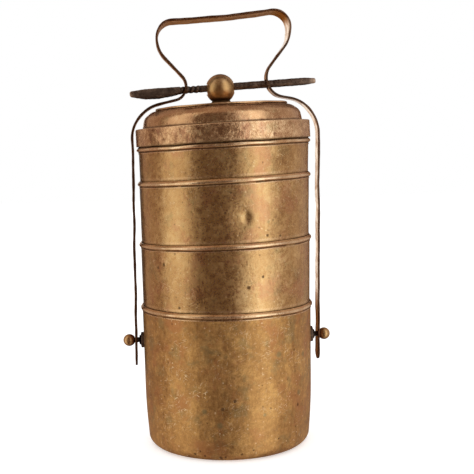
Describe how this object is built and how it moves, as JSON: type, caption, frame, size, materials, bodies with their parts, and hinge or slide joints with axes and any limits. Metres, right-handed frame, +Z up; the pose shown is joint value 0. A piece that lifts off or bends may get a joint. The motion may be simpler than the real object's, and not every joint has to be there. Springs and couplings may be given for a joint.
{
  "type": "tiffin carrier",
  "caption": "Round stacked food carrier of sheet metal: a tall can, shallower tiers and a domed lid, held by a swinging strap handle and a locking bar through the lid's knob.",
  "frame": {"origin": "centre of the bottom can's flat base, on the table", "axes": "+Z up through the stack, -X and +X towards the handle's left and right arms, +Y to the back"},
  "size_m": [0.1616, 0.133, 0.329],
  "materials": {
    "vessel_brass": "aged satin sheet brass with brown patina, small pits and light scratches",
    "band_brass": "rubbed satin brass, bright on its crown, dark in the crevice below",
    "lid_brass": "aged satin sheet brass, browner than the vessels",
    "knob_brass": "hand-rubbed turned brass",
    "strap_brass": "reddish-brown hammered strap brass with rubbed edges",
    "bar_iron": "dark wrought iron, rubbed bright at both ends",
    "pivot_iron": "black iron"
  },
  "bodies": {
    "can": {"bottom_can": "vessel_brass", "can_rim_band": "band_brass", "pivot_boss_left": "pivot_iron", "pivot_boss_right": "pivot_iron", "pivot_pin_left": "pivot_iron", "pivot_pin_right": "pivot_iron", "pivot_ball_left": "knob_brass", "pivot_ball_right": "knob_brass"},
    "tier_3": {"tier_3": "vessel_brass", "tier_3_rim_band": "band_brass"},
    "tier_2": {"tier_2": "vessel_brass", "tier_2_rim_band": "band_brass"},
    "tier_1": {"tier_1": "vessel_brass", "tier_1_stop_band": "band_brass"},
    "lid": {"lid_shell": "lid_brass", "lid_top_plate": "lid_brass", "knob": "knob_brass", "knob_burr": "knob_brass"},
    "handle": {"handle_strap": "strap_brass"},
    "bar": {"locking_bar": "bar_iron"}
  },
  "joints": [
    {"name": "handle_swing", "type": "hinge", "parent": "can", "child": "handle", "pos_m": [0, 0, 0.0808], "axis": [-1, 0, 0], "range_deg": [0, 105]},
    {"name": "bar_slide", "type": "slide", "parent": "handle", "child": "bar", "axis": [-0.9982, 0, -0.0602], "range_m": [0, 0.105]},
    {"name": "tier_3_lift", "type": "slide", "parent": "can", "child": "tier_3", "axis": [0, 0, 1], "range_m": [0, 0.0025]},
    {"name": "tier_2_lift", "type": "slide", "parent": "tier_3", "child": "tier_2", "axis": [0, 0, 1], "range_m": [0, 0.0025]},
    {"name": "tier_1_lift", "type": "slide", "parent": "tier_2", "child": "tier_1", "axis": [0, 0, 1], "range_m": [0, 0.0025]},
    {"name": "lid_lift", "type": "slide", "parent": "tier_1", "child": "lid", "axis": [0, 0, 1], "range_m": [0, 0.00482]}
  ],
  "couplings": [
    {"joint": "tier_3_lift", "follows": "handle_swing", "m_per_rad": 0.00136},
    {"joint": "tier_2_lift", "follows": "handle_swing", "m_per_rad": 0.00136},
    {"joint": "tier_1_lift", "follows": "handle_swing", "m_per_rad": 0.00136},
    {"joint": "lid_lift", "follows": "handle_swing", "m_per_rad": 0.00262}
  ]
}
